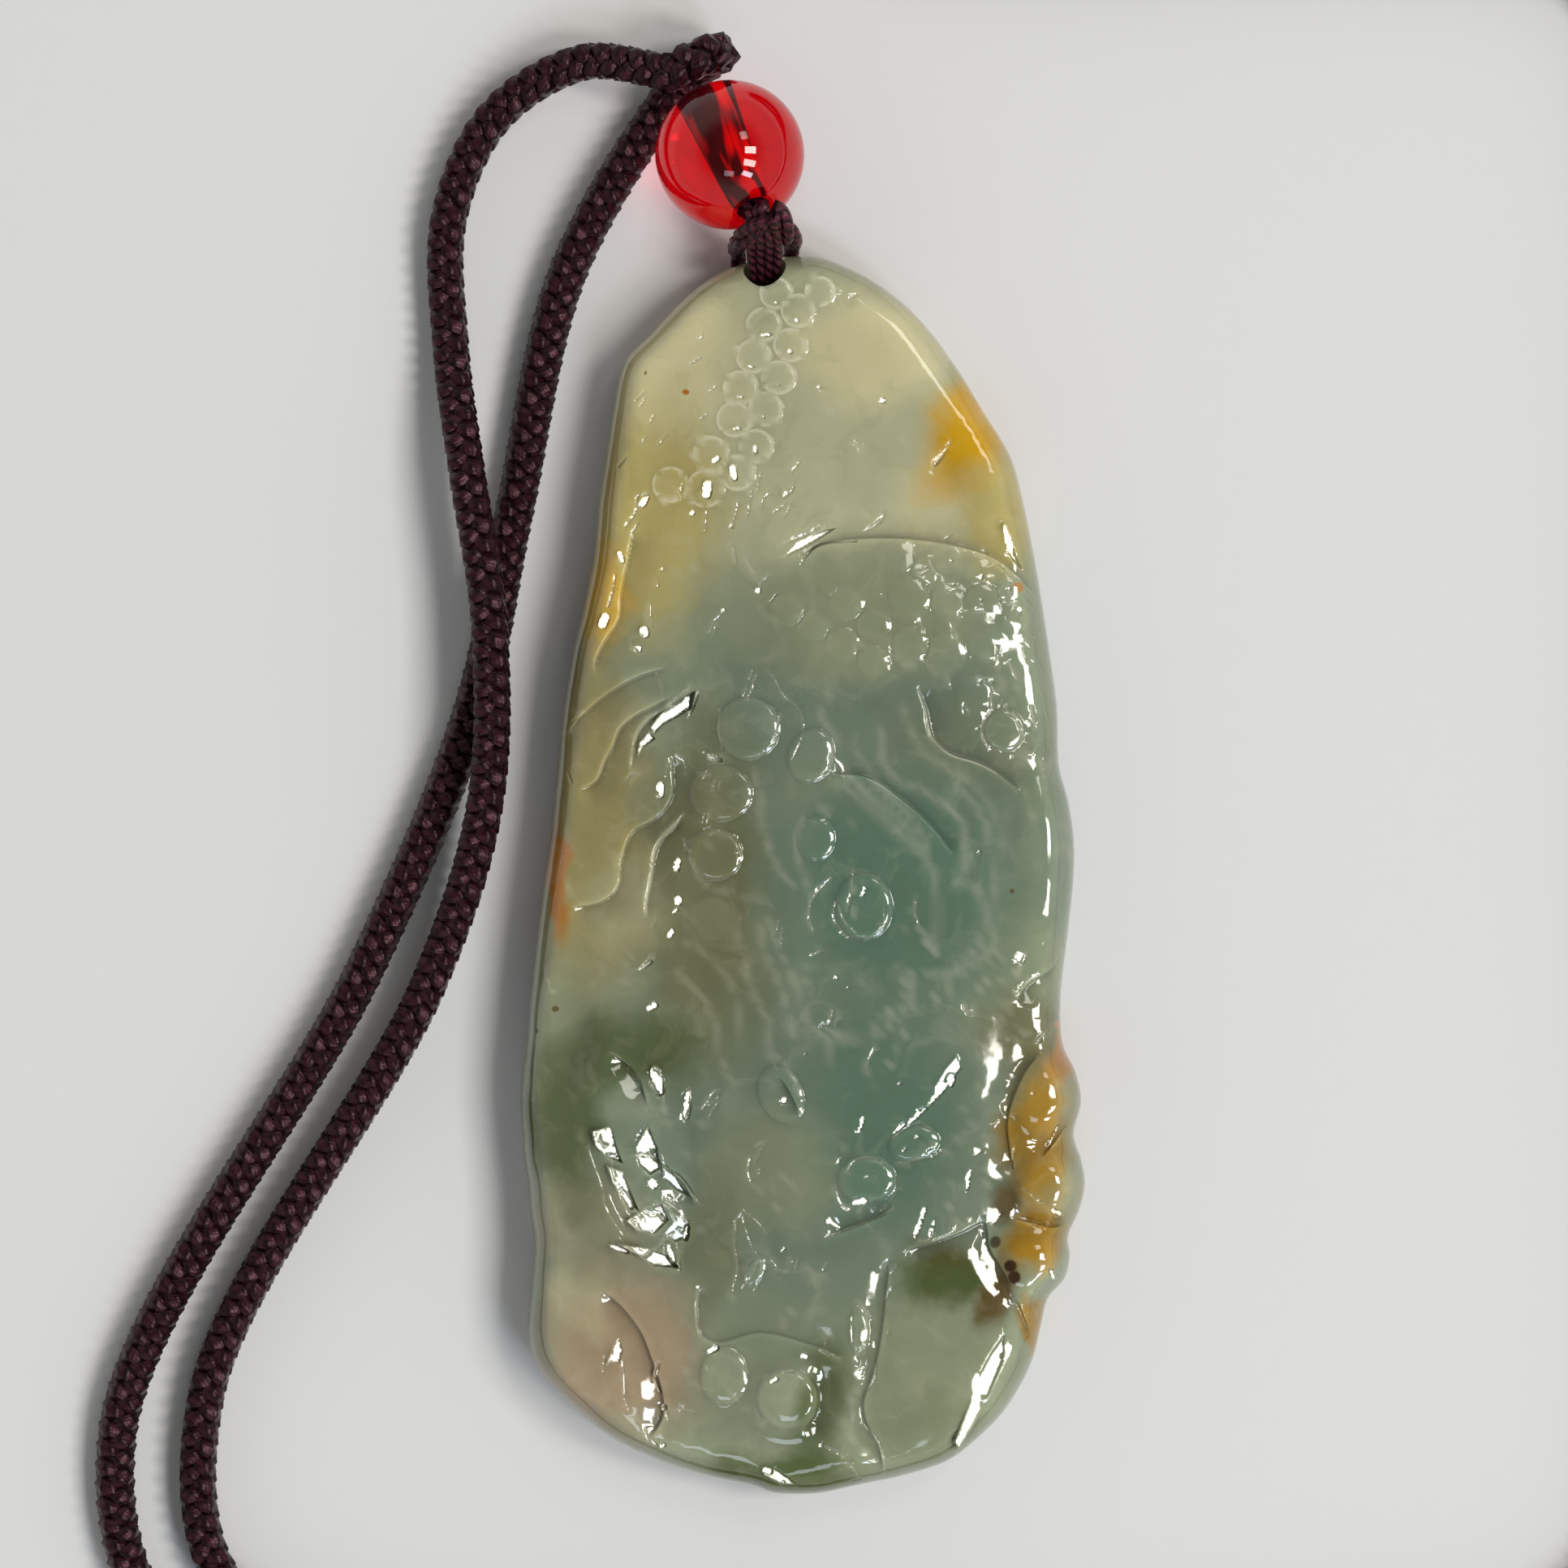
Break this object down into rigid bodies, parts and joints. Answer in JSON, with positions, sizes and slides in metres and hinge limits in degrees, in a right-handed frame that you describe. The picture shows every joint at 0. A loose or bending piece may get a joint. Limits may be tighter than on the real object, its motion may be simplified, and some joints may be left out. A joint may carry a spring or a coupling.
{
  "type": "carved jade pendant on a neck cord",
  "caption": "Flat-backed jade plaque carved in relief, hung by a thin thread through a clear red bead from a braided cord loop that goes over the head.",
  "frame": {"origin": "middle of the jade's flat back, which lies on the surface", "axes": "+Y along the plaque towards the bead, +Z out of the carved front, +X to the right seen from the front"},
  "size_m": [0.0883, 0.1071, 0.008],
  "materials": {
    "jade": "polished",
    "thread": "satin",
    "bead": "polished",
    "cord": "satin"
  },
  "bodies": {
    "root": {"jade_plaque": "jade", "hanging_thread": "thread", "red_bead": "bead", "cord_fold": "cord", "neck_cord": "cord"}
  },
  "joints": []
}
